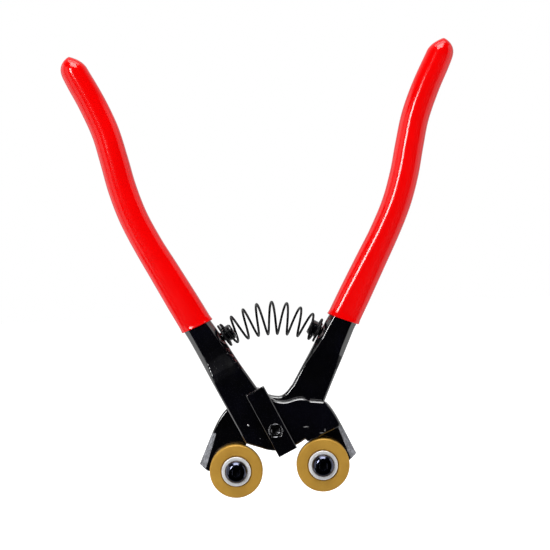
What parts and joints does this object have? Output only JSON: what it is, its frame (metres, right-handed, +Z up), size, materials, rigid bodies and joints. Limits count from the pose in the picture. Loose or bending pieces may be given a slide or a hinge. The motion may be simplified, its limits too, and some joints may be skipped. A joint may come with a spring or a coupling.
{
  "type": "wheeled glass nippers",
  "caption": "Wheeled glass nippers: two crossed levers with dipped grips, a barrel return spring and a round cutting wheel on each jaw.",
  "frame": {"origin": "on the pivot axis, at the flat back end of the pivot screw", "axes": "+Z up along the tool from jaws to handles, in the plane of the levers; +X to the right seen from the front, and -Y is the front, where the wheels' screw heads are"},
  "size_m": [0.164, 0.0235, 0.1865],
  "materials": {
    "lever_enamel": "glossy black enamel over drop-forged steel",
    "grip_vinyl": "glossy dip-moulded vinyl",
    "coated_carbide": "satin gold coating on ground carbide",
    "zinc_steel": "bright zinc plate",
    "blued_steel": "glossy black oxide, oiled",
    "spring_wire": "black spring wire"
  },
  "bodies": {
    "front_half": {"front_lever": "lever_enamel", "left_grip": "grip_vinyl", "pivot_bar": "lever_enamel", "pivot_screw": "blued_steel", "pivot_shim": "zinc_steel", "pivot_washer": "zinc_steel", "pivot_nut": "blued_steel", "left_spring_stud": "lever_enamel", "return_spring": "spring_wire", "right_wheel_bush": "zinc_steel", "right_wheel_screw": "blued_steel", "right_lock_washer": "zinc_steel", "right_wheel_nut": "blued_steel"},
    "rear_half": {"rear_lever": "lever_enamel", "right_grip": "grip_vinyl", "right_spring_stud": "lever_enamel", "left_wheel_bush": "zinc_steel", "left_wheel_screw": "blued_steel", "left_lock_washer": "zinc_steel", "left_wheel_nut": "blued_steel"},
    "left_cutter": {"left_wheel": "coated_carbide"},
    "right_cutter": {"right_wheel": "coated_carbide"}
  },
  "joints": [
    {"name": "handle_close", "type": "hinge", "parent": "front_half", "child": "rear_half", "pos_m": [0, 0, 0], "axis": [0, -1, 0], "range_deg": [0, 39], "stiffness_Nm_per_rad": 0.26, "springref_deg": -20.05, "deforming": ["return_spring"]},
    {"name": "left_wheel_turn", "type": "hinge", "parent": "rear_half", "child": "left_cutter", "pos_m": [-0.0171, 0, -0.0163], "axis": [0, -1, 0], "continuous": true},
    {"name": "right_wheel_turn", "type": "hinge", "parent": "front_half", "child": "right_cutter", "pos_m": [0.0189, 0, -0.0155], "axis": [0, -1, 0], "continuous": true}
  ]
}
